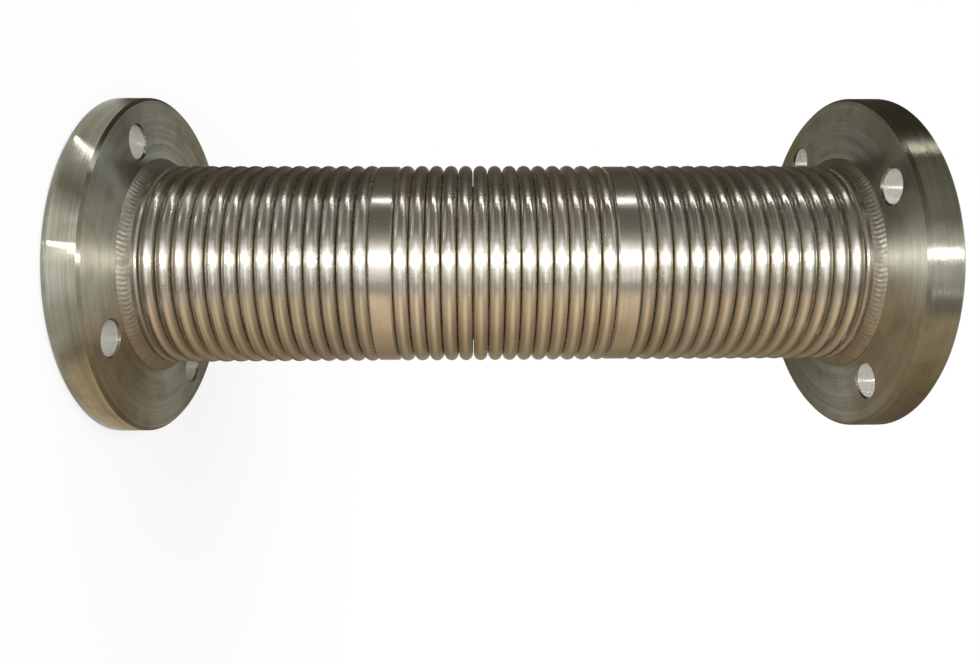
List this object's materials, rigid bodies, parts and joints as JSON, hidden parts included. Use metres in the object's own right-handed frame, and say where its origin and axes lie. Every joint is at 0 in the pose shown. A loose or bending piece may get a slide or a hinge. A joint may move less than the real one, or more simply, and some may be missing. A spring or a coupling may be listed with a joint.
{
  "type": "vacuum bellows hose",
  "caption": "Metal vacuum hose: formed bellows sections joined by collars, with a drilled plate flange on a short pipe at each end. It lengthens and shortens along its axis.",
  "frame": {"origin": "centre of the lower flange's sealing face", "axes": "+Z along the hose axis from the lower flange to the upper flange; +X lies half way between two bolt holes of the lower flange"},
  "size_m": [0.19, 0.19, 0.428],
  "materials": {
    "flange_steel": "turned",
    "bellows_steel": "bright formed sheet",
    "ring_steel": "fine turned",
    "pipe_steel": "drawn tube",
    "weld_steel": "welded, heat tinted"
  },
  "bodies": {
    "lower_end": {"lower_flange": "flange_steel", "lower_pipe_stub": "pipe_steel", "lower_end_ring": "ring_steel", "lower_cuff_weld": "weld_steel", "lower_flange_weld": "weld_steel", "lower_bore_weld": "weld_steel", "lower_bellows": "bellows_steel"},
    "lower_middle": {"lower_collar": "ring_steel", "lower_collar_seam_weld": "weld_steel", "middle_bellows": "bellows_steel"},
    "upper_middle": {"upper_collar": "ring_steel", "upper_collar_seam_weld": "weld_steel", "upper_bellows": "bellows_steel"},
    "upper_end": {"upper_flange": "flange_steel", "upper_pipe_stub": "pipe_steel", "upper_end_ring": "ring_steel", "upper_cuff_weld": "weld_steel", "upper_flange_weld": "weld_steel", "upper_bore_weld": "weld_steel"}
  },
  "joints": [
    {"name": "lower_section_travel", "type": "slide", "parent": "lower_end", "child": "lower_middle", "axis": [0, 0, 1], "range_m": [-0.011, 0.007], "stiffness_N_per_m": 55000, "deforming": ["lower_bellows"]},
    {"name": "middle_section_travel", "type": "slide", "parent": "lower_middle", "child": "upper_middle", "axis": [0, 0, 1], "range_m": [-0.011, 0.007], "stiffness_N_per_m": 55000, "deforming": ["middle_bellows"]},
    {"name": "upper_section_travel", "type": "slide", "parent": "upper_middle", "child": "upper_end", "axis": [0, 0, 1], "range_m": [-0.011, 0.007], "stiffness_N_per_m": 55000, "deforming": ["upper_bellows"]}
  ],
  "couplings": [
    {"joint": "middle_section_travel", "follows": "lower_section_travel", "ratio": 1},
    {"joint": "upper_section_travel", "follows": "lower_section_travel", "ratio": 1}
  ]
}
